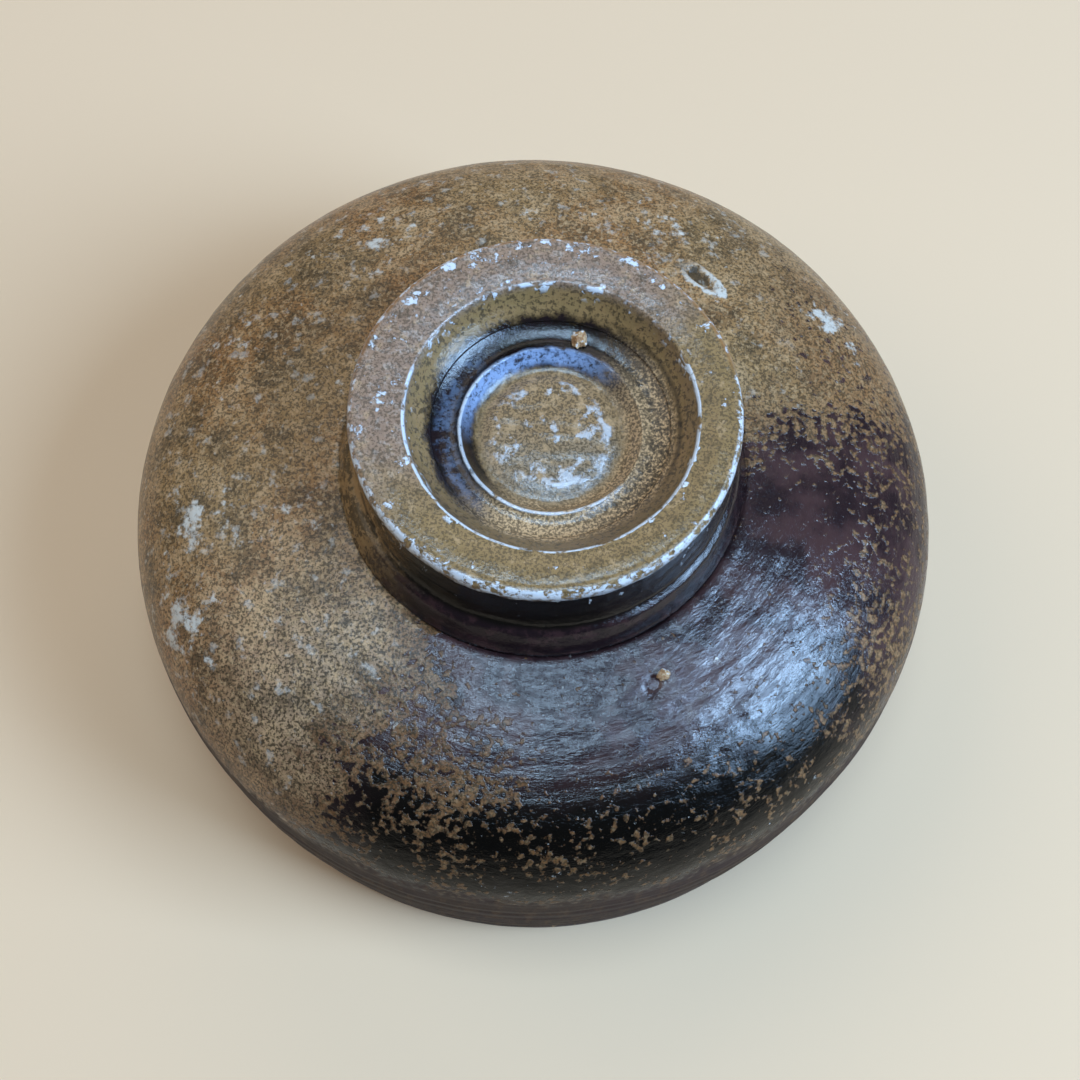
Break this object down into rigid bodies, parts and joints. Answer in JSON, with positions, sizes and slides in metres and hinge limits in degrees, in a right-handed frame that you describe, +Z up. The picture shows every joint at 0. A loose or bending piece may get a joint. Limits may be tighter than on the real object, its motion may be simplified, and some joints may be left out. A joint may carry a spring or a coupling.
{
  "type": "matcha bowl",
  "caption": "Stoneware matcha bowl, stored upside down on its rim, with a luted foot ring and a dark iron glaze under a poured ash glaze.",
  "frame": {"origin": "centre of the rim, on the surface that the upside-down bowl rests on", "axes": "+Z up through the foot (turn the bowl 180 degrees about X to drink from it); the bare dark wedge of the glaze lies towards +X and -Y"},
  "size_m": [0.12, 0.12, 0.07],
  "materials": {
    "fired_clay": "rough, dark brown, iron bearing",
    "iron_glaze": "glossy purple-black, speckled tan",
    "ash_glaze": "satin gloss, rust to olive brown, bluish-white specks",
    "foot_glaze": "satin gloss, golden olive with milky edges",
    "well_glaze": "glossy pool, brown to blue-black",
    "inside_glaze": "satin gloss, olive brown",
    "kiln_grit": "sandy"
  },
  "bodies": {
    "root": {"clay_body": "fired_clay", "foot_ring": "fired_clay", "iron_glaze": "iron_glaze", "ash_glaze": "ash_glaze", "foot_glaze": "foot_glaze", "well_glaze": "well_glaze", "inside_glaze": "inside_glaze", "kiln_grit_well": "kiln_grit", "kiln_grit_shoulder": "kiln_grit"}
  },
  "joints": []
}
